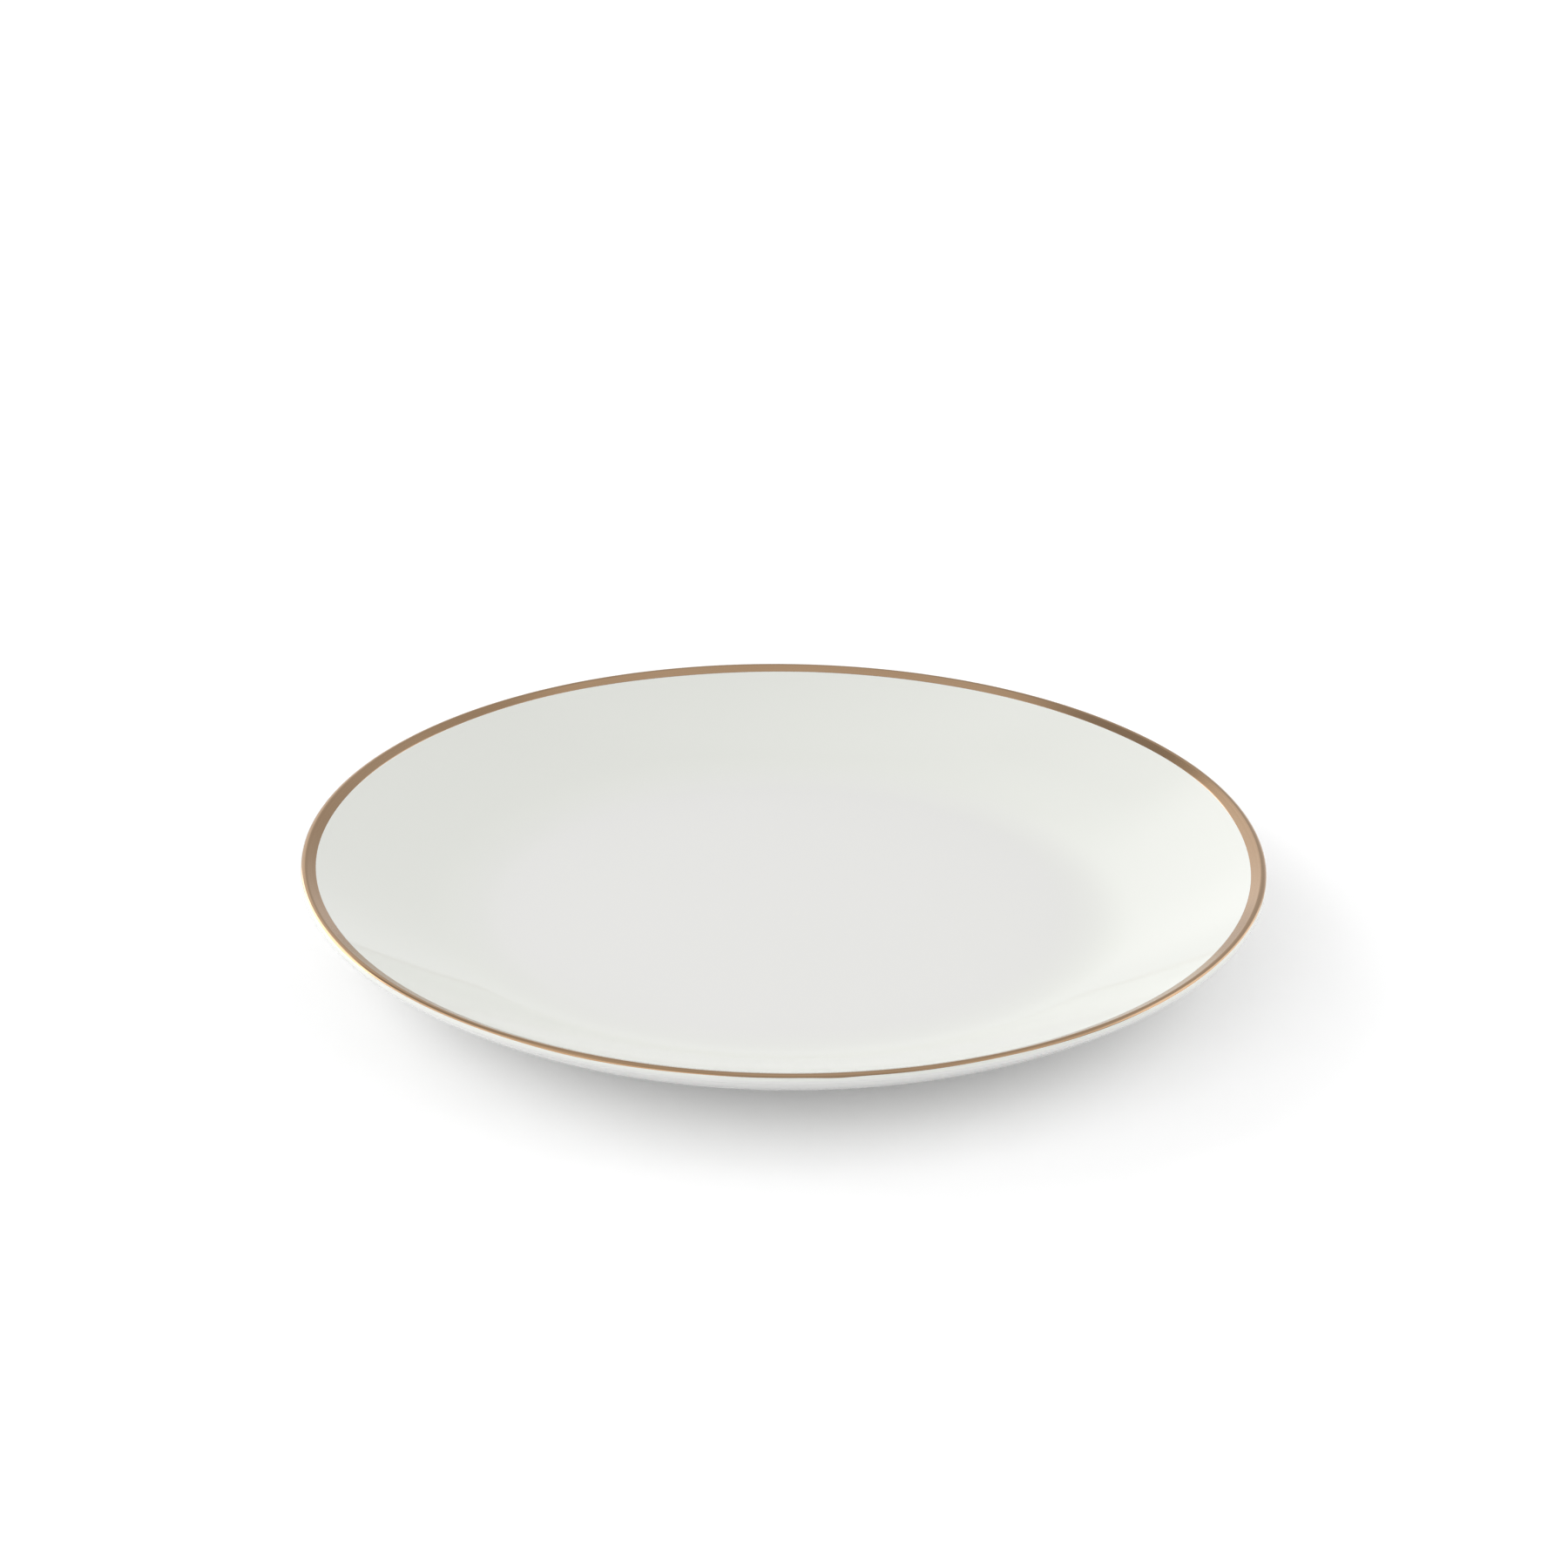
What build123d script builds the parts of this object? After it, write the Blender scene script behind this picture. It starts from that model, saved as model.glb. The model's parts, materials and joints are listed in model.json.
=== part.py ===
from build123d import *
import os
from math import asin, cos, degrees, radians, sin

# China dinner plate of coupe shape: millimetres and degrees.
# Origin: centre of the foot ring's contact plane. +Z points up, out of the eating surface.
# Every layer is a slice of one section in the r-z plane, turned about +Z.

# Overall size
PLATE_DIAMETER = 270.0         # over the outermost edge of the rim
WELL_RADIUS = 80.4             # flat eating surface
FOOT_HEIGHT = 2.7              # contact plane to the recessed underside
BASE_THICKNESS = 3.4           # below the flat eating surface, glaze included

# Wall, inside face: a tight shoulder curve, then a slow curve up to the rim
SHOULDER_RADIUS = 100.0
SHOULDER_SLOPE = 18.3
RIM_SLOPE = 28.0

# Rim edge: one round from the inside face to the outside face
RIM_EDGE_RADIUS = 1.4

# Wall, outside face: steep under the rim, easing towards the foot ring
OUTER_RIM_SLOPE = 41.0
OUTER_RIM_BEND = 64.0          # curve radius just under the rim
OUTER_EASE_RADIUS = 118.5      # where the slower curve takes over
OUTER_FOOT_SLOPE = 6.0

# Foot ring
FOOT_RADIUS = 82.0             # middle of the contact ring
FOOT_CONTACT_WIDTH = 2.8
FOOT_ROOT_WIDTH = 6.0
FOOT_EDGE_ROUND = 0.5
FOOT_ROOT_ROUND = 1.5
WIPED_HEIGHT = 0.8             # bare of glaze from the contact plane up to here

# Glaze and decoration
GLAZE = 0.25
GOLD = 0.1                     # fired gold on top of the glaze
GOLD_INNER_RADIUS = 130.6
GOLD_OUTER_ANGLE = 52.0        # round the rim edge, counted outwards from its crest

# Printed rosette under the base
STAMP = 0.1
STAMP_RADIUS = 11.0
STAMP_RING_WIDTH = 0.9
STAMP_HUB_RADIUS = 1.8
STAMP_PETALS = 8
STAMP_PETAL_WIDTH = 2.4

# Derived sizes
RIM_RADIUS = PLATE_DIAMETER / 2
EDGE_CENTRE_RADIUS = RIM_RADIUS - RIM_EDGE_RADIUS
INNER_WALL_END = EDGE_CENTRE_RADIUS - RIM_EDGE_RADIUS * sin(radians(RIM_SLOPE))
OUTER_WALL_START = EDGE_CENTRE_RADIUS + RIM_EDGE_RADIUS * sin(radians(OUTER_RIM_SLOPE))
FOOT_ROOT_OUTSIDE = FOOT_RADIUS + FOOT_ROOT_WIDTH / 2
WELL_HEIGHT = FOOT_HEIGHT + BASE_THICKNESS
PAST_AXIS = 5.0                # the section starts beyond the axis and is trimmed to it


def bend_radius(run, slope_start, slope_end):
    """Radius of the arc that turns between two slopes over a radial run."""
    return run / (sin(radians(slope_end)) - sin(radians(slope_start)))


def slope_after(run, radius, slope_start):
    """Slope left after following a flattening arc over a radial run."""
    return degrees(asin(sin(radians(slope_start)) - run / radius))


def onward(curve, radius, turn):
    """Arc that carries on from the end of a curve: a positive turn is to the left."""
    return JernArc(curve @ 1, curve % 1, radius, turn)


def inside_face():
    """Eating surface: flat well, shoulder and wall, from past the axis to the rim edge."""
    shoulder_bend = bend_radius(SHOULDER_RADIUS - WELL_RADIUS, 0, SHOULDER_SLOPE)
    wall_bend = bend_radius(INNER_WALL_END - SHOULDER_RADIUS, SHOULDER_SLOPE, RIM_SLOPE)
    well = Line((-PAST_AXIS, WELL_HEIGHT), (WELL_RADIUS, WELL_HEIGHT))
    shoulder = onward(well, shoulder_bend, SHOULDER_SLOPE)
    wall = onward(shoulder, wall_bend, RIM_SLOPE - SHOULDER_SLOPE)
    return well, shoulder, wall


def outside_face(rim_edge):
    """Outside of the wall, from the rim edge down to the root of the foot ring."""
    ease_slope = slope_after(OUTER_WALL_START - OUTER_EASE_RADIUS, OUTER_RIM_BEND, OUTER_RIM_SLOPE)
    ease_bend = bend_radius(OUTER_EASE_RADIUS - FOOT_ROOT_OUTSIDE, OUTER_FOOT_SLOPE, ease_slope)
    under_rim = onward(rim_edge, OUTER_RIM_BEND, ease_slope - OUTER_RIM_SLOPE)
    ease = onward(under_rim, ease_bend, OUTER_FOOT_SLOPE - ease_slope)
    return under_rim, ease


def underside(outside_root):
    """Foot ring and recessed underside, from the outside root back past the axis."""
    return Polyline(
        outside_root,
        (FOOT_RADIUS + FOOT_CONTACT_WIDTH / 2, 0),
        (FOOT_RADIUS - FOOT_CONTACT_WIDTH / 2, 0),
        (FOOT_RADIUS - FOOT_ROOT_WIDTH / 2, FOOT_HEIGHT),
        (-PAST_AXIS, FOOT_HEIGHT),
        (-PAST_AXIS, WELL_HEIGHT),
    )


def foot_corners(section, low, high):
    """Corners of the foot ring between two heights."""
    near_foot = (FOOT_RADIUS - FOOT_ROOT_WIDTH, FOOT_RADIUS + FOOT_ROOT_WIDTH)
    return section.vertices().filter_by_position(Axis.X, *near_foot).filter_by_position(Axis.Y, low, high)


def round_foot(section):
    """Soften the two roots of the foot ring, then the two edges of its contact ring."""
    rooted = fillet(foot_corners(section, WIPED_HEIGHT, FOOT_HEIGHT + GLAZE), FOOT_ROOT_ROUND)
    return fillet(foot_corners(rooted, -GLAZE, GLAZE), FOOT_EDGE_ROUND)


def glazed_section():
    """Section of the whole glazed plate, before the gold and the print."""
    well, shoulder, wall = inside_face()
    rim_edge = onward(wall, RIM_EDGE_RADIUS, OUTER_RIM_SLOPE - RIM_SLOPE - 180)
    under_rim, ease = outside_face(rim_edge)
    foot = underside(ease @ 1)
    return round_foot(make_face([well, shoulder, wall, rim_edge, under_rim, ease, *foot.edges()]))


def china_section(glazed):
    """Bare china: the glazed section less the glaze, with the foot's wiped contact ring."""
    wiped = glazed & Rectangle(PLATE_DIAMETER, WIPED_HEIGHT, align=(Align.MIN, Align.MIN))
    return offset(glazed, -GLAZE) + wiped


def band_zone():
    """Region of the section that the gold band lies in, bounded by lines square to the surface."""
    wall = inside_face()[2]
    run = INNER_WALL_END - GOLD_INNER_RADIUS
    slope = radians(slope_after(run, wall.radius, RIM_SLOPE))
    edge = Vector(wall @ 1) + RIM_EDGE_RADIUS * Vector(sin(radians(RIM_SLOPE)), -cos(radians(RIM_SLOPE)))
    inner_line = Vector(wall.arc_center) + wall.radius * Vector(sin(slope), -cos(slope))
    square_in = Vector(-sin(slope), cos(slope))
    square_out = Vector(sin(radians(GOLD_OUTER_ANGLE)), cos(radians(GOLD_OUTER_ANGLE)))
    reach = 3 * RIM_EDGE_RADIUS
    corners = (
        inner_line - square_in,
        inner_line + reach * square_in,
        edge + reach * Vector(0, 1),
        edge + reach * square_out,
        edge,
    )
    return make_face(Polyline(*corners, close=True))


def gold_section(glazed):
    """Film of gold over the top of the rim, from the inside face to the outside."""
    return (offset(glazed, GOLD) - glazed) & band_zone()


def right_half(section):
    """Part of a section beyond the axis."""
    return section & Rectangle(PLATE_DIAMETER, PLATE_DIAMETER, align=(Align.MIN, Align.CENTER))


def turned(half_section):
    """Solid swept by a half section in one turn about +Z."""
    return revolve(Plane.XZ * half_section, Axis.Z)


def backstamp():
    """Printed rosette: a ring, petals that reach it, and a hub, under the recessed base."""
    petal_length = STAMP_RADIUS - STAMP_RING_WIDTH / 2
    petal = Pos(petal_length / 2, 0) * Ellipse(petal_length / 2, STAMP_PETAL_WIDTH / 2)
    rosette = Circle(STAMP_RADIUS) - Circle(STAMP_RADIUS - STAMP_RING_WIDTH) + Circle(STAMP_HUB_RADIUS)
    for place in PolarLocations(0, STAMP_PETALS):
        rosette += place * petal
    return extrude(Pos(0, 0, FOOT_HEIGHT) * rosette, -STAMP)


def main():
    glazed = glazed_section()
    china = china_section(glazed)
    base_glaze, coat_glaze = right_half(glazed - china).faces().sort_by(SortBy.AREA)
    nodes = {
        "china_body": turned(right_half(china)),
        "glaze_coat": turned(coat_glaze),
        "glaze_base": turned(base_glaze),
        "gold_rim_band": turned(gold_section(glazed)),
        "backstamp": backstamp(),
    }
    os.makedirs("parts", exist_ok=True)
    for name, solid in nodes.items():
        solid.label = name
        export_step(solid, f"parts/{name}.step")


main()
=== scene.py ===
import json
from bisect import bisect
from math import asin, atan2, ceil, cos, exp, pi, radians, sin, tan

import bmesh
import bpy
from mathutils import Matrix, Vector


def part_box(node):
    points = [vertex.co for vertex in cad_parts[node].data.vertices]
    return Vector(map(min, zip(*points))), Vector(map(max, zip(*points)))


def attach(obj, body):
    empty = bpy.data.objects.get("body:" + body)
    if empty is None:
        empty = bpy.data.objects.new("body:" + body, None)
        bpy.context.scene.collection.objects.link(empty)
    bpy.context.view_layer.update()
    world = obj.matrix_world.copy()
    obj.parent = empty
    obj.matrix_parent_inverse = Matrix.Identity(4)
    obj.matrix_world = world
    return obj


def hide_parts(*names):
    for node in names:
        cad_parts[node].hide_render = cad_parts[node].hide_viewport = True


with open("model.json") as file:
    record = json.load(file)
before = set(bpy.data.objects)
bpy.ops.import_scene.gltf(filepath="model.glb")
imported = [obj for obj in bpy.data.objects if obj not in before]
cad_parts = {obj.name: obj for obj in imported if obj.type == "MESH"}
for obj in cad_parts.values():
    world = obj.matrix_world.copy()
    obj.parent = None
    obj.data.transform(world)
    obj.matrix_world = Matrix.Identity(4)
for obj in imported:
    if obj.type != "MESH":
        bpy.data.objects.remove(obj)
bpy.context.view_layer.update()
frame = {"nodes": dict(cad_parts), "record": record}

MM = 0.001

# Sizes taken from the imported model, in metres
MOUNTS = {mount["name"]: mount["pos_m"] for mount in frame["record"]["mounts"]}
COAT_LOW, COAT_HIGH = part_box("glaze_coat")
RIM_RADIUS = COAT_HIGH.x
CREST_HEIGHT = COAT_HIGH.z
WIPED_HEIGHT = COAT_LOW.z
WELL_HEIGHT = MOUNTS["well"][2]
FOOT_RADIUS = MOUNTS["foot"][0]
UNDERSIDE_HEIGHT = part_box("backstamp")[1].z
GLAZE = COAT_HIGH.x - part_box("china_body")[1].x

# Shape of the section, as in the design
WELL_RADIUS = 80.4 * MM
SHOULDER_RADIUS = 100.0 * MM
SHOULDER_SLOPE = radians(18.3)
RIM_SLOPE = radians(28.0)
RIM_EDGE_RADIUS = 1.4 * MM
OUTER_RIM_SLOPE = radians(41.0)
OUTER_RIM_BEND = 64.0 * MM
OUTER_EASE_RADIUS = 118.5 * MM
OUTER_FOOT_SLOPE = radians(6.0)
FOOT_CONTACT_WIDTH = 2.8 * MM
FOOT_ROOT_WIDTH = 6.0 * MM
FOOT_EDGE_ROUND = 0.5 * MM
FOOT_ROOT_ROUND = 1.5 * MM
GLAZE_LIP = 0.4 * MM

# Gold line: where it starts on the inside face and stops on the round edge
GOLD_INNER_RADIUS = 130.6 * MM
GOLD_OUTER_ANGLE = radians(52.0)
GOLD_FILM = 0.03 * MM
GOLD_SUNK = 0.01 * MM
GOLD_EDGE = 0.12 * MM

# Unevenness of the hand-lined edges: waves round the rim, reach in metres, start in radians
GOLD_INNER_WAVES = (
    (1, 0.4 * MM, radians(180)),       # broader at the front than at the back
    (3, 0.2 * MM, radians(180)),       # broadest at the front left and the front right
    (7, 0.08 * MM, radians(100)),
    (11, 0.05 * MM, radians(20)),
)
GOLD_OUTER_WAVES = ((3, 0.08 * MM, 0.6), (7, 0.07 * MM, 2.0), (11, 0.06 * MM, 4.1), (19, 0.03 * MM, 1.0))
GOLD_JOIN = radians(276)
GOLD_JOIN_LENGTH = radians(2.2)
GOLD_JOIN_REACH = 0.22 * MM

# Mesh density: steps round the axis, and along the section
TURN_STEPS = 320
GOLD_TURN_STEPS = 1440
GOLD_STEPS = 28
FLAT_STEP = 5.0 * MM
WALL_STEP = 1.5 * MM
EDGE_STEP = 0.12 * MM
FOOT_STEP = 0.15 * MM
SHARP_EDGE = radians(40)       # edges that turn more than this aren't shaded smooth

# Camera: a 100 mm lens on a 36 mm sensor, aimed a little above the rim's centre
LENS = 100.0
SENSOR = 36.0
CAMERA_ELEVATION = radians(25.2)
CAMERA_DISTANCE = 1.2215
AIM_ABOVE = radians(0.852)
AIM_LEFT = radians(0.007)
CAMERA_ROLL = radians(0.575)

# Colours, linear, and the roughness, grain and relief of the materials. A grain is a number of
# repeats per metre
CHINA_IOR = 1.5
GLAZE_WELL = (0.794, 0.791, 0.773)
GLAZE_WALL = (0.808, 0.819, 0.774)
GLAZE_POOLED = (0.77, 0.782, 0.745)
# painted shade: colour of the glaze on faces that turn downwards, about 7% darker than the inside
GLAZE_PAINTED_SHADE = (0.74, 0.74, 0.728)
GLAZE_TURNS = (WELL_RADIUS - 4 * MM, WELL_RADIUS + 14 * MM)     # the well's tone gives way to the wall's
GLAZE_POOLING = 0.15
GLAZE_ROUGHNESS = (0.05, 0.08)
POOL_GRAIN = 18.0
GLOSS_GRAIN = 45.0
RIPPLE_GRAIN = 26.0
RIPPLE_RELIEF = 0.2 * MM
PEEL_GRAIN = 420.0
PEEL_RELIEF = 0.01 * MM
SPECK = (0.30, 0.24, 0.18)
SPECK_GRAIN = 55.0
SPECK_SIZE = (0.008, 0.014)            # share of a grain cell: full strength, and gone
SPECK_CHANCE = (0.93, 0.94)            # cells above this have one
SPECK_STRENGTH = 0.35
BISQUE = (0.80, 0.77, 0.70)
BISQUE_SOILED = (0.58, 0.54, 0.48)
BISQUE_ROUGHNESS = (0.5, 0.68)
BISQUE_GRAIN = 2600.0
BISQUE_RELIEF = 0.04 * MM
SOIL_GRAIN = 90.0
GOLD_DEEP = (0.45, 0.295, 0.175)
GOLD_PALE = (0.51, 0.35, 0.225)
LUSTRE_GRAIN = 12.0
GOLD_BRUSHED = (0.82, 0.79, 0.74)      # share of the tone left in the streaks between brush hairs
GOLD_BRUSHING = 0.6
GOLD_ROUGHNESS = (0.10, 0.17)
GOLD_RELIEF = 0.02 * MM
CLOUD_GRAIN = 60.0
STREAK_GRAIN = 6000.0
PRINT_LIGHT = (0.72, 0.55, 0.30)
PRINT_DEEP = (0.55, 0.40, 0.20)
PRINT_WORN = (0.42, 0.33, 0.22)
PRINT_ROUGHNESS = (0.35, 0.55)
PRINT_DOTS = 3000.0
PRINT_RELIEF = 0.01 * MM
WEAR_GRAIN = 220.0
FLOOR_COLOUR = (0.975, 0.975, 0.975)
FLOOR_COLOUR_LOW = (0.965, 0.965, 0.965)
FLOOR_GRAIN = 30.0
FLOOR_GLOW = 0.1
FLOOR_RINGS = (0.0, 0.5, 2.0, 8.0)         # radii in metres
FLOOR_STEPS = 96

# Light, in units where 1 is display white, from all round and from large soft panels. A panel:
# name, middle azimuth (0 is straight away from the camera, positive to the right), width,
# lowest and highest elevation, width of its soft edge, in degrees, and the radiance that it adds,
# which is negative for a darker patch
WALL_RADIANCE = 0.66
PANELS = (
    ("left_back", -52, 40, -20, 34, 4, 2.6),
    ("wing", -22, 32, 8, 37, 12, 0.42),
    ("backdrop", 0, 180, -20, 12, 20, 0.2),
    ("left", -115, 104, 10, 46, 10, 0.8),
    ("right", 64, 50, -20, 46, 8, 1.0),
    ("right_far", 108, 50, 28, 52, 10, 0.3),
    ("upper_left", -111, 100, 40, 64, 14, 0.38),
    ("upper_right", 95, 90, 40, 66, 12, 0.26),
    ("crown", -10, 140, 60, 100, 8, 0.2),
    ("gap", -37, 28, 38, 57, 5, -0.2),
    ("front", 180, 130, 0, 60, 30, -0.07),
)


# Section geometry

def bend_radius(run, slope_start, slope_end):
    """Radius of the arc that turns between two slopes over a radial run."""
    return run / (sin(slope_end) - sin(slope_start))


class Path:
    """Line in the r-z plane, kept as dense points. Its left-hand side faces out of the china."""

    def __init__(self, start):
        self.points = [Vector(start)]
        self.heading = 0.0

    def line_to(self, end, step):
        start = self.points[-1]
        move = Vector(end) - start
        self.heading = atan2(move.y, move.x)
        count = max(1, ceil(move.length / step))
        self.points += [start + move * (i / count) for i in range(1, count + 1)]

    def arc(self, radius, turn, step):
        """Carries on in a tangent arc: a positive turn is to the left."""
        side = 1 if turn > 0 else -1
        start = self.points[-1]
        centre = start + side * radius * Vector((-sin(self.heading), cos(self.heading)))
        spoke = start - centre
        count = max(2, ceil(abs(turn) * radius / step))
        for i in range(1, count + 1):
            self.points.append(centre + Matrix.Rotation(turn * i / count, 2) @ spoke)
        self.heading += turn

    def corner(self, corner, after, radius, step):
        """Runs straight towards a corner and round it with a radius, towards the point after it."""
        corner, after = Vector(corner), Vector(after)
        before = self.points[-1]
        heading_in = atan2(corner.y - before.y, corner.x - before.x)
        heading_out = atan2(after.y - corner.y, after.x - corner.x)
        turn = (heading_out - heading_in + pi) % (2 * pi) - pi
        cut = radius * tan(abs(turn) / 2)
        self.line_to(corner - cut * Vector((cos(heading_in), sin(heading_in))), step)
        self.arc(radius, turn, step)

    def normals(self):
        """Unit normals at the points, on the path's left."""
        result = []
        last = len(self.points) - 1
        for i in range(len(self.points)):
            along = self.points[min(i + 1, last)] - self.points[max(i - 1, 0)]
            result.append(Vector((-along.y, along.x)).normalized())
        return result


def plate_path():
    """Outline of the glazed plate, from the middle of the well round to the middle of the base."""
    edge_centre = RIM_RADIUS - RIM_EDGE_RADIUS
    inner_end = edge_centre - RIM_EDGE_RADIUS * sin(RIM_SLOPE)
    outer_start = edge_centre + RIM_EDGE_RADIUS * sin(OUTER_RIM_SLOPE)
    ease_slope = asin(sin(OUTER_RIM_SLOPE) - (outer_start - OUTER_EASE_RADIUS) / OUTER_RIM_BEND)
    foot_root = FOOT_RADIUS + FOOT_ROOT_WIDTH / 2
    path = Path((0.0, WELL_HEIGHT))
    path.line_to((WELL_RADIUS, WELL_HEIGHT), FLAT_STEP)
    path.arc(bend_radius(SHOULDER_RADIUS - WELL_RADIUS, 0, SHOULDER_SLOPE), SHOULDER_SLOPE, WALL_STEP)
    path.arc(bend_radius(inner_end - SHOULDER_RADIUS, SHOULDER_SLOPE, RIM_SLOPE),
             RIM_SLOPE - SHOULDER_SLOPE, WALL_STEP)
    path.arc(RIM_EDGE_RADIUS, OUTER_RIM_SLOPE - RIM_SLOPE - pi, EDGE_STEP)
    path.arc(OUTER_RIM_BEND, ease_slope - OUTER_RIM_SLOPE, WALL_STEP)
    path.arc(bend_radius(OUTER_EASE_RADIUS - foot_root, OUTER_FOOT_SLOPE, ease_slope),
             OUTER_FOOT_SLOPE - ease_slope, WALL_STEP)
    while path.points[-1].x < foot_root + FOOT_ROOT_ROUND:
        path.points.pop()
    fall = (path.points[-1].x - foot_root) * tan(OUTER_FOOT_SLOPE)
    contact_out = (FOOT_RADIUS + FOOT_CONTACT_WIDTH / 2, 0.0)
    contact_in = (FOOT_RADIUS - FOOT_CONTACT_WIDTH / 2, 0.0)
    root_in = (FOOT_RADIUS - FOOT_ROOT_WIDTH / 2, UNDERSIDE_HEIGHT)
    root_out = (foot_root, path.points[-1].y - fall)
    middle = (0.0, UNDERSIDE_HEIGHT)
    path.corner(root_out, contact_out, FOOT_ROOT_ROUND, FOOT_STEP)
    path.corner(contact_out, contact_in, FOOT_EDGE_ROUND, FOOT_STEP)
    path.corner(contact_in, root_in, FOOT_EDGE_ROUND, FOOT_STEP)
    path.corner(root_in, middle, FOOT_ROOT_ROUND, FOOT_STEP)
    path.line_to(middle, FLAT_STEP)
    return path


class Layers:
    """Outline of the plate cut at the wiped foot, with the surface of the china under the glaze."""

    def __init__(self, path):
        self.outer = path.points
        self.normals = path.normals()
        self.inner = [p - GLAZE * n for p, n in zip(self.outer, self.normals)]
        bare = [i for i, p in enumerate(self.outer) if p.y < WIPED_HEIGHT and p.x > FOOT_RADIUS / 2]
        self.bare_start, self.bare_end = bare[0], bare[-1]

    def china(self):
        """Bare china: under the glaze everywhere but on the wiped foot."""
        start, end = self.bare_start, self.bare_end
        return self.inner[:start] + self.outer[start:end + 1] + self.inner[end + 1:]

    def lip(self, indices):
        """Glaze surface near its wiped edge, thinning to a round lip."""
        edge = self.outer[indices[-1]]
        result = []
        for i in indices:
            reach = min(1.0, (self.outer[i] - edge).length / GLAZE_LIP)
            thickness = GLAZE * (1 - (1 - reach) ** 2) ** 0.5
            result.append(self.inner[i] + thickness * self.normals[i])
        return result

    def top_glaze(self):
        """Loop of the main glaze coat, from the middle of the well round the rim to the foot."""
        skin = self.lip(range(self.bare_start))
        return skin + self.inner[self.bare_start - 2::-1]

    def base_glaze(self):
        """Loop of the glaze inside the foot ring."""
        last = len(self.outer) - 1
        skin = self.lip(range(last, self.bare_end, -1))
        return skin + self.inner[self.bare_end + 2:]


# Meshes

def new_object(name, bm):
    """Object from a bmesh, smooth except over its sharp edges."""
    bmesh.ops.recalc_face_normals(bm, faces=bm.faces)
    mesh = bpy.data.meshes.new(name)
    bm.to_mesh(mesh)
    bm.free()
    mesh.shade_smooth()
    mesh.set_sharp_from_angle(angle=SHARP_EDGE)
    piece = bpy.data.objects.new(name, mesh)
    bpy.context.scene.collection.objects.link(piece)
    return piece


def ring(bm, point, steps):
    """Vertices of one section point turned about the axis: a single one on the axis itself."""
    if point.x < 1e-6:
        return [bm.verts.new((0, 0, point.y))] * steps
    angles = [2 * pi * i / steps for i in range(steps)]
    return [bm.verts.new((point.x * cos(a), point.x * sin(a), point.y)) for a in angles]


def skin_between(bm, first, second):
    """Quads between two rings, or triangles where a ring is a single vertex."""
    steps = len(first)
    for i in range(steps):
        j = (i + 1) % steps
        corners = [first[i], first[j], second[j], second[i]]
        bm.faces.new(list(dict.fromkeys(corners)))


def turned(name, outline):
    """Closed solid turned from an outline that starts and ends on the axis."""
    bm = bmesh.new()
    rings = [ring(bm, point, TURN_STEPS) for point in outline]
    for first, second in zip(rings, rings[1:]):
        skin_between(bm, first, second)
    return new_object(name, bm)


# The gold line

def wander(angle, waves):
    """Slow unevenness of a hand-lined edge: waves are (turns, height, start)."""
    return sum(height * sin(turns * angle + start) for turns, height, start in waves)


def overlap(angle):
    """Extra reach where the brush stroke ends on its own start."""
    away = (angle - GOLD_JOIN + pi) % (2 * pi) - pi
    return GOLD_JOIN_REACH * exp(-(away / GOLD_JOIN_LENGTH) ** 2)


class Ruler:
    """Points and normals of an outline by distance along it."""

    def __init__(self, layers):
        self.points, self.normals = layers.outer, layers.normals
        self.marks = [0.0]
        for a, b in zip(self.points, self.points[1:]):
            self.marks.append(self.marks[-1] + (b - a).length)

    def mark_at_radius(self, radius):
        """Distance at which the outline first reaches a radius."""
        i = next(k for k, p in enumerate(self.points) if p.x > radius)
        t = (radius - self.points[i - 1].x) / (self.points[i].x - self.points[i - 1].x)
        return self.marks[i - 1] + t * (self.marks[i] - self.marks[i - 1])

    def at(self, mark):
        """Point and unit normal at a distance."""
        i = bisect(self.marks, mark)
        t = (mark - self.marks[i - 1]) / (self.marks[i] - self.marks[i - 1])
        point = self.points[i - 1].lerp(self.points[i], t)
        return point, self.normals[i - 1].lerp(self.normals[i], t).normalized()


def gold_line(layers):
    """Film of gold over the rim: even in thickness, rounded at its two wandering edges."""
    ruler = Ruler(layers)
    edge_centre = RIM_RADIUS - RIM_EDGE_RADIUS
    stop_radius = edge_centre + RIM_EDGE_RADIUS * sin(GOLD_OUTER_ANGLE)
    start = ruler.mark_at_radius(GOLD_INNER_RADIUS)
    stop = ruler.mark_at_radius(stop_radius)
    bm = bmesh.new()
    loops = []
    for i in range(GOLD_TURN_STEPS):
        angle = 2 * pi * i / GOLD_TURN_STEPS
        first = start - wander(angle, GOLD_INNER_WAVES)
        last = stop + wander(angle, GOLD_OUTER_WAVES) + overlap(angle)
        loop = []
        for k in range(GOLD_STEPS + 1):
            mark = first + (last - first) * k / GOLD_STEPS
            reach = min(1.0, min(mark - first, last - mark) / GOLD_EDGE)
            lift = GOLD_FILM * (1 - (1 - reach) ** 2) ** 0.5
            point, normal = ruler.at(mark)
            loop.append(point + lift * normal)
        for k in range(GOLD_STEPS, -1, -1):
            point, normal = ruler.at(first + (last - first) * k / GOLD_STEPS)
            loop.append(point - GOLD_SUNK * normal)
        loops.append([bm.verts.new((p.x * cos(angle), p.x * sin(angle), p.y)) for p in loop])
    for i, loop in enumerate(loops):
        skin_between(bm, loop, loops[(i + 1) % GOLD_TURN_STEPS])
    return new_object("gold_line", bm)


# Materials

def new_material(name, settings):
    """Principled material with its constant settings on the shader's own sockets."""
    material = bpy.data.materials.new(name)
    material.use_nodes = True
    shader = material.node_tree.nodes["Principled BSDF"]
    for socket, value in settings.items():
        shader.inputs[socket].default_value = value
    return material, shader


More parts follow.
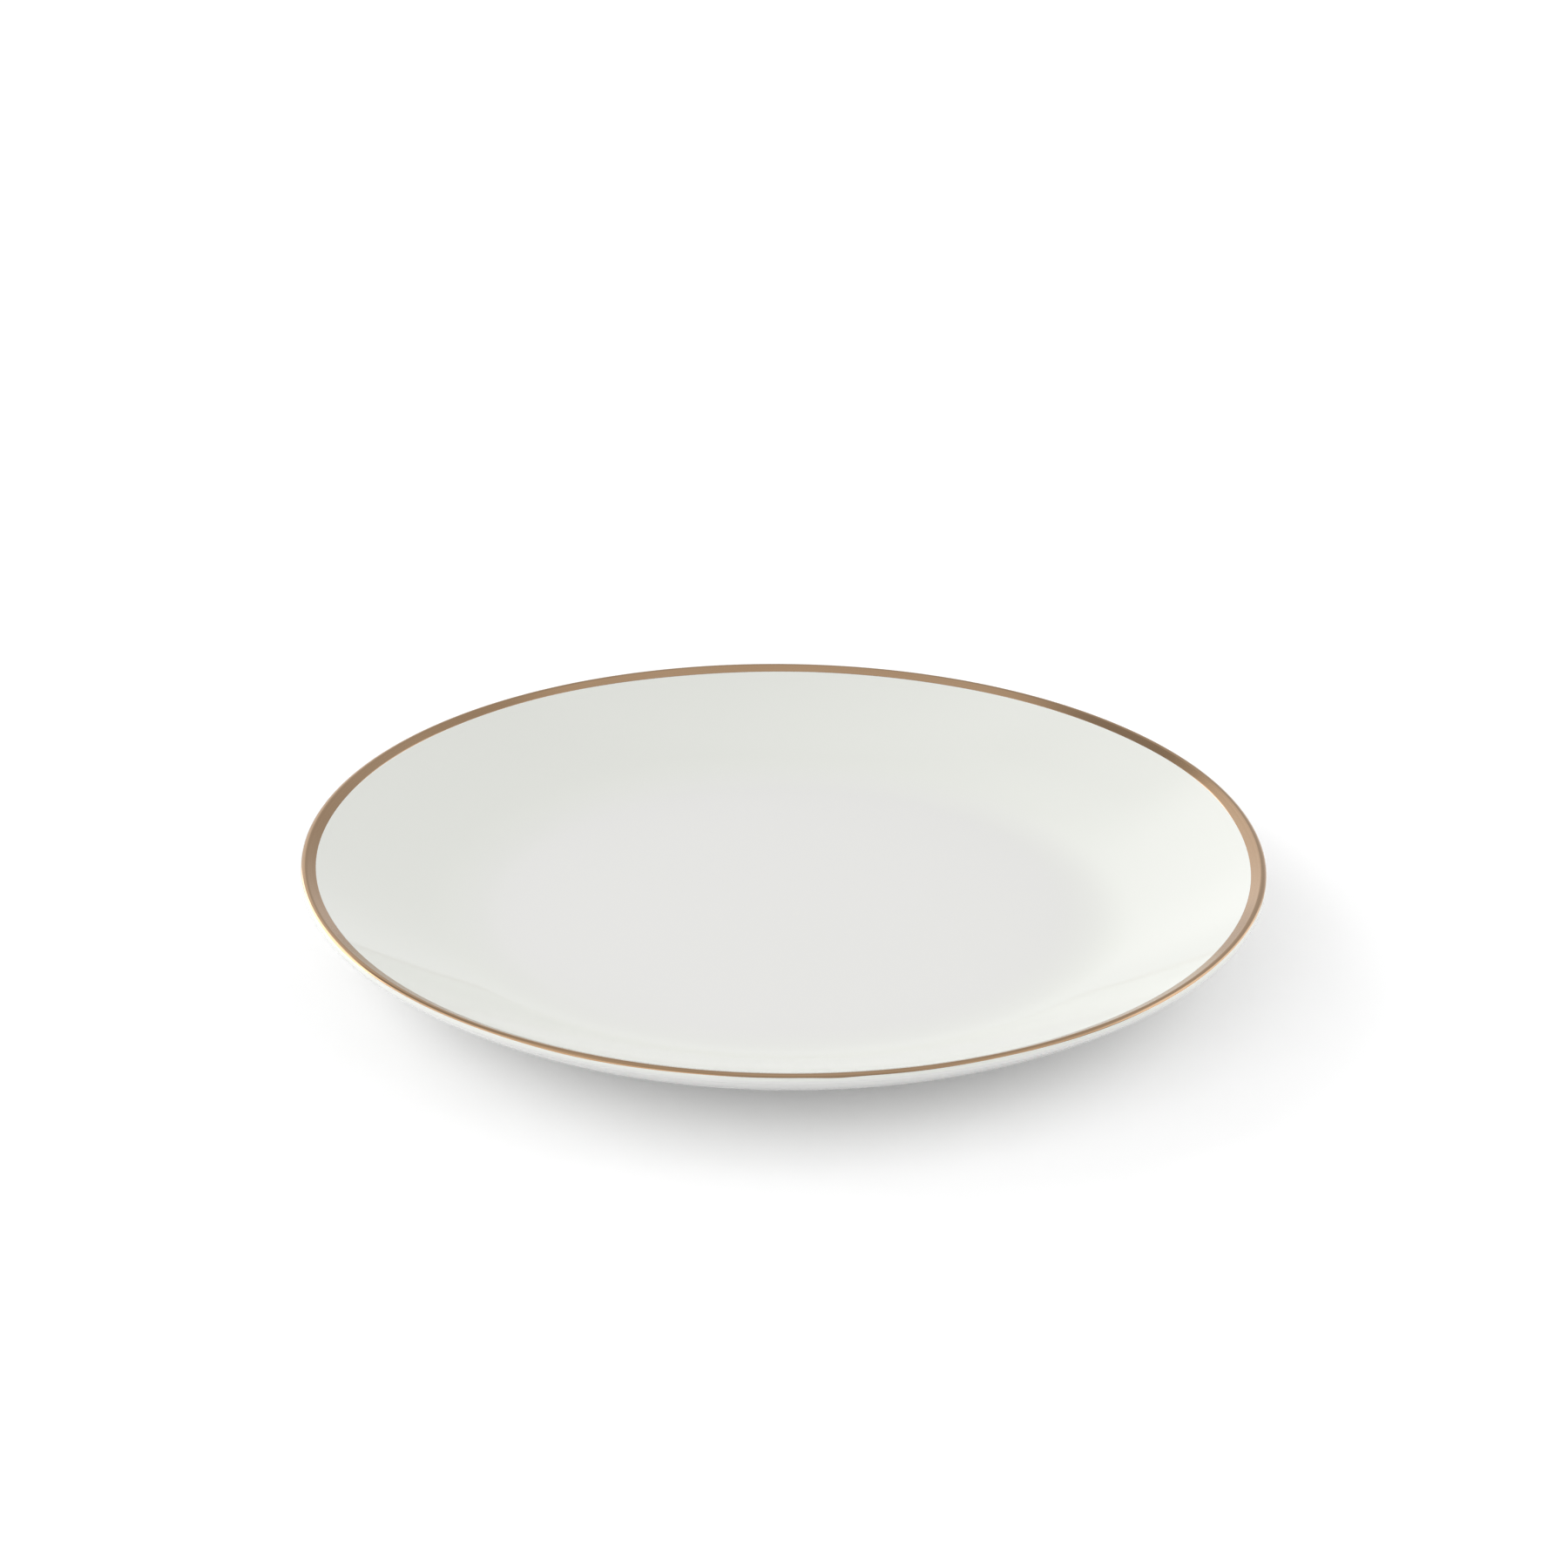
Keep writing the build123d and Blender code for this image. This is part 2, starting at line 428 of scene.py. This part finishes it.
def add_node(material, kind, settings=(), links=()):
    """Node with attributes or input values set, and inputs fed by other nodes' outputs."""
    tree = material.node_tree
    made = tree.nodes.new(kind)
    for key, value in dict(settings).items():
        if isinstance(key, str) and hasattr(made, key):
            setattr(made, key, value)
        else:
            made.inputs[key].default_value = value
    for key, output in dict(links).items():
        tree.links.new(output, made.inputs[key])
    return made


def place(material):
    """Position on the object in metres."""
    return add_node(material, "ShaderNodeTexCoord").outputs["Object"]


def noise(material, where, grain, detail=3.0, roughness=0.5):
    """Noise between 0 and 1, about its middle for most of the surface."""
    made = add_node(material, "ShaderNodeTexNoise",
                    {"Scale": grain, "Detail": detail, "Roughness": roughness}, {"Vector": where})
    return made.outputs["Fac"]


def between(material, value, low, high, start=0.3, end=0.7):
    """Maps a value from start..end to low..high."""
    made = add_node(material, "ShaderNodeMapRange",
                    {"From Min": start, "From Max": end, "To Min": low, "To Max": high},
                    {"Value": value})
    return made.outputs["Result"]


def blend(material, factor, low, high):
    """Colour between two colours. Each is a colour or another node's output."""
    made = add_node(material, "ShaderNodeMix", {"data_type": "RGBA"}, {"Factor": factor})
    for socket, colour in (("A", low), ("B", high)):
        slot = next(i for i in made.inputs if i.name == socket and i.type == "RGBA")
        if isinstance(colour, bpy.types.NodeSocket):
            material.node_tree.links.new(colour, slot)
        else:
            slot.default_value = (*colour, 1)
    return next(o for o in made.outputs if o.type == "RGBA")


def bump(material, height, relief, strength, under=None):
    """Surface normal raised by a height from 0 to 1, on top of another normal."""
    links = {"Height": height}
    if under:
        links["Normal"] = under
    made = add_node(material, "ShaderNodeBump", {"Distance": relief, "Strength": strength}, links)
    return made.outputs["Normal"]


def join(material, shader, **outputs):
    """Feeds the shader's sockets."""
    for socket, output in outputs.items():
        material.node_tree.links.new(output, shader.inputs[socket.replace("_", " ")])


def math_node(material, operation, first, second=None):
    """Output of a sum on another node's output and a number or output."""
    links = {0: first}
    settings = {"operation": operation}
    if isinstance(second, bpy.types.NodeSocket):
        links[1] = second
    elif second is not None:
        settings[1] = second
    return add_node(material, "ShaderNodeMath", settings, links).outputs[0]


def round_axis(material):
    """Radius from the plate's axis, angle round it and height, each as an output."""
    split = add_node(material, "ShaderNodeSeparateXYZ", (), {0: place(material)})
    flat = add_node(material, "ShaderNodeCombineXYZ", (),
                    {"X": split.outputs["X"], "Y": split.outputs["Y"]})
    radius = add_node(material, "ShaderNodeVectorMath", {"operation": "LENGTH"}, {0: flat.outputs[0]})
    angle = math_node(material, "ARCTAN2", split.outputs["Y"], split.outputs["X"])
    return radius.outputs["Value"], angle, split.outputs["Z"]


def specks(material, spot):
    """Strength of rare faint specks: a dot in the middle of a few cells."""
    cells = add_node(material, "ShaderNodeTexVoronoi", {"Scale": SPECK_GRAIN}, {"Vector": spot})
    chance = add_node(material, "ShaderNodeSeparateColor", (), {"Color": cells.outputs["Color"]})
    near = between(material, cells.outputs["Distance"], SPECK_STRENGTH, 0.0, *SPECK_SIZE)
    rare = between(material, chance.outputs["Red"], 0.0, 1.0, *SPECK_CHANCE)
    return math_node(material, "MULTIPLY", near, rare)


def clear_glaze():
    """Glassy glaze over white china: lighter and greener on the wall, with orange peel and rare faint
    specks, and painted shade that darkens the faces turning downwards."""
    material, shader = new_material("clear_glaze", {"IOR": CHINA_IOR})
    spot = place(material)
    radius = round_axis(material)[0]
    on_wall = between(material, radius, 0.0, 1.0, *GLAZE_TURNS)
    pooling = between(material, noise(material, spot, POOL_GRAIN, 2.0), 0.0, GLAZE_POOLING)
    inside = blend(material, pooling, blend(material, on_wall, GLAZE_WELL, GLAZE_WALL), GLAZE_POOLED)
    face = add_node(material, "ShaderNodeNewGeometry")
    faces = add_node(material, "ShaderNodeSeparateXYZ", (), {0: face.outputs["Normal"]})
    # painted shade: faces that turn downwards take the darker colour
    painted_shade_below = between(material, faces.outputs["Z"], 1.0, 0.0, -0.2, 0.2)
    tone = blend(material, painted_shade_below, inside, GLAZE_PAINTED_SHADE)
    colour = blend(material, specks(material, spot), tone, SPECK)
    gloss = between(material, noise(material, spot, GLOSS_GRAIN, 4.0), *GLAZE_ROUGHNESS)
    ripple = bump(material, noise(material, spot, RIPPLE_GRAIN, 1.0), RIPPLE_RELIEF, 0.25)
    peel = bump(material, noise(material, spot, PEEL_GRAIN, 2.0), PEEL_RELIEF, 0.3, ripple)
    join(material, shader, Base_Color=colour, Roughness=gloss, Normal=peel)
    return material


def bare_china():
    """Unglazed bone china of the wiped foot: dry, fine-grained, lightly soiled by shelves."""
    material, shader = new_material("bare_china", {"IOR": CHINA_IOR, "Diffuse Roughness": 0.3})
    spot = place(material)
    rubbed = between(material, noise(material, spot, SOIL_GRAIN, 5.0, 0.6), 0.0, 1.0, 0.45, 0.75)
    grain = noise(material, spot, BISQUE_GRAIN, 2.0)
    colour = blend(material, rubbed, BISQUE, BISQUE_SOILED)
    dryness = between(material, grain, *BISQUE_ROUGHNESS)
    raised = bump(material, grain, BISQUE_RELIEF, 0.6)
    join(material, shader, Base_Color=colour, Roughness=dryness, Normal=raised)
    return material


def brush_streaks(material, radius, angle, height):
    """Noise drawn out along the rim, as the hairs of a lining brush leave it."""
    where = add_node(material, "ShaderNodeCombineXYZ", (),
                     {"X": math_node(material, "SINE", angle), "Y": math_node(material, "COSINE", angle),
                      "Z": math_node(material, "MULTIPLY", radius, STREAK_GRAIN)})
    made = add_node(material, "ShaderNodeTexNoise",
                    {"noise_dimensions": "4D", "Scale": 1.0, "Detail": 4.0, "Roughness": 0.6},
                    {"Vector": where.outputs[0],
                     "W": math_node(material, "MULTIPLY", height, STREAK_GRAIN)})
    return made.outputs["Fac"]


def fired_gold():
    """Burnished gold lining: soft metal of an uneven tone, with brush streaks along the rim."""
    material, shader = new_material("fired_gold", {"Metallic": 1.0})
    radius, angle, height = round_axis(material)
    streak = brush_streaks(material, radius, angle, height)
    cloud = noise(material, place(material), CLOUD_GRAIN)
    lustre = between(material, noise(material, place(material), LUSTRE_GRAIN), 0.0, 1.0)
    tone = blend(material, lustre, GOLD_DEEP, GOLD_PALE)
    brushed = add_node(material, "ShaderNodeVectorMath", {"operation": "MULTIPLY", 1: GOLD_BRUSHED},
                       {0: tone})
    worn = between(material, streak, 0.0, GOLD_BRUSHING)
    colour = blend(material, worn, tone, brushed.outputs[0])
    gloss = between(material, cloud, *GOLD_ROUGHNESS)
    raised = bump(material, streak, GOLD_RELIEF, 0.25)
    join(material, shader, Base_Color=colour, Roughness=gloss, Normal=raised)
    return material


def printed_gold():
    """Decal gold of the backstamp: duller, with the print's dots and worn patches."""
    material, shader = new_material("printed_gold", {"Metallic": 1.0})
    spot = place(material)
    dots = add_node(material, "ShaderNodeTexVoronoi", {"Scale": PRINT_DOTS}, {"Vector": spot})
    worn = between(material, noise(material, spot, WEAR_GRAIN, 4.0, 0.6), 0.0, 1.0, 0.5, 0.75)
    off_dot = between(material, dots.outputs["Distance"], 0.0, 1.0, 0.2, 0.7)
    tone = blend(material, off_dot, PRINT_LIGHT, PRINT_DEEP)
    colour = blend(material, worn, tone, PRINT_WORN)
    gloss = between(material, worn, *PRINT_ROUGHNESS, 0.0, 1.0)
    raised = bump(material, dots.outputs["Distance"], PRINT_RELIEF, 0.5)
    join(material, shader, Base_Color=colour, Roughness=gloss, Normal=raised)
    return material


# Light, floor and camera

def make_camera():
    """Camera at the photograph's angle, level but for a slight roll."""
    data = bpy.data.cameras.new("camera")
    data.lens, data.sensor_width = LENS, SENSOR
    data.clip_start, data.clip_end = 0.01, 50.0
    camera = bpy.data.objects.new("camera", data)
    bpy.context.scene.collection.objects.link(camera)
    back = Vector((0, -cos(CAMERA_ELEVATION), sin(CAMERA_ELEVATION)))
    camera.location = Vector((0, 0, CREST_HEIGHT)) + CAMERA_DISTANCE * back
    pan = Matrix.Rotation(AIM_LEFT, 4, "Z")
    tilt = Matrix.Rotation(pi / 2 - CAMERA_ELEVATION + AIM_ABOVE, 4, "X")
    roll = Matrix.Rotation(CAMERA_ROLL, 4, "Z")
    camera.rotation_mode = "QUATERNION"
    camera.rotation_quaternion = (pan @ tilt @ roll).to_quaternion()
    bpy.context.scene.camera = camera


def window(world, coordinate, centre, width, edge):
    """One inside a range of an angle, falling smoothly to zero over its edges."""
    away = math_node(world, "SUBTRACT", coordinate, radians(centre))
    wrapped = add_node(world, "ShaderNodeMath", {"operation": "WRAP", 1: pi, 2: -pi}, {0: away})
    inside = add_node(world, "ShaderNodeMapRange",
                      {"interpolation_type": "SMOOTHSTEP",
                       "From Min": radians(width + edge) / 2, "From Max": radians(width - edge) / 2},
                      {"Value": math_node(world, "ABSOLUTE", wrapped.outputs[0])})
    return inside.outputs["Result"]


def make_world():
    """Studio: even light from its walls, and large soft panels far from the plate."""
    world = bpy.data.worlds.new("studio")
    world.use_nodes = True
    background = world.node_tree.nodes["Background"]
    background.inputs["Color"].default_value = (1, 1, 1, 1)
    spot = add_node(world, "ShaderNodeTexCoord")
    split = add_node(world, "ShaderNodeSeparateXYZ", (), {0: spot.outputs["Generated"]})
    azimuth = math_node(world, "ARCTAN2", split.outputs["X"], split.outputs["Y"])
    elevation = math_node(world, "ARCSINE", split.outputs["Z"])
    patches = []
    for _, middle, width, low, high, edge, radiance in PANELS:
        across = window(world, azimuth, middle, width, edge)
        up = window(world, elevation, (low + high) / 2, high - low, edge)
        shape = math_node(world, "MULTIPLY", across, up)
        patches.append(math_node(world, "MULTIPLY", shape, radiance))
    total = math_node(world, "ADD", patches[0], WALL_RADIANCE)
    for patch in patches[1:]:
        total = math_node(world, "ADD", total, patch)
    world.node_tree.links.new(total, background.inputs["Strength"])
    bpy.context.scene.world = world


def make_floor():
    """Large pale disc to stand on."""
    bm = bmesh.new()
    rings = [ring(bm, Vector((radius, 0.0)), FLOOR_STEPS) for radius in FLOOR_RINGS]
    for first, second in zip(rings, rings[1:]):
        skin_between(bm, first, second)
    floor = new_object("floor", bm)
    material, shader = new_material("floor", {"Roughness": 0.9, "Specular IOR Level": 0.0,
                                              "Emission Color": (1, 1, 1, 1),
                                              "Emission Strength": FLOOR_GLOW})
    grain = between(material, noise(material, place(material), FLOOR_GRAIN), 0.0, 1.0)
    colour = blend(material, grain, FLOOR_COLOUR, FLOOR_COLOUR_LOW)
    join(material, shader, Base_Color=colour)
    floor.data.materials.append(material)


# Build

def dress(piece, material, node_name):
    """Gives a new piece its material, hides the CAD node that it replaces, and hangs it on the root
    body.
    """
    piece.data.materials.append(material)
    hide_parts(node_name)
    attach(piece, "root")


def main():
    layers = Layers(plate_path())
    glaze = clear_glaze()
    dress(turned("china", layers.china()), bare_china(), "china_body")
    dress(turned("glaze_over", layers.top_glaze()), glaze, "glaze_coat")
    dress(turned("glaze_under", layers.base_glaze()), glaze, "glaze_base")
    dress(gold_line(layers), fired_gold(), "gold_rim_band")
    stamp = frame["nodes"]["backstamp"]
    stamp.data.materials.clear()
    stamp.data.materials.append(printed_gold())
    make_floor()
    make_world()
    make_camera()
    bpy.context.scene.view_settings.view_transform = "Standard"


main()
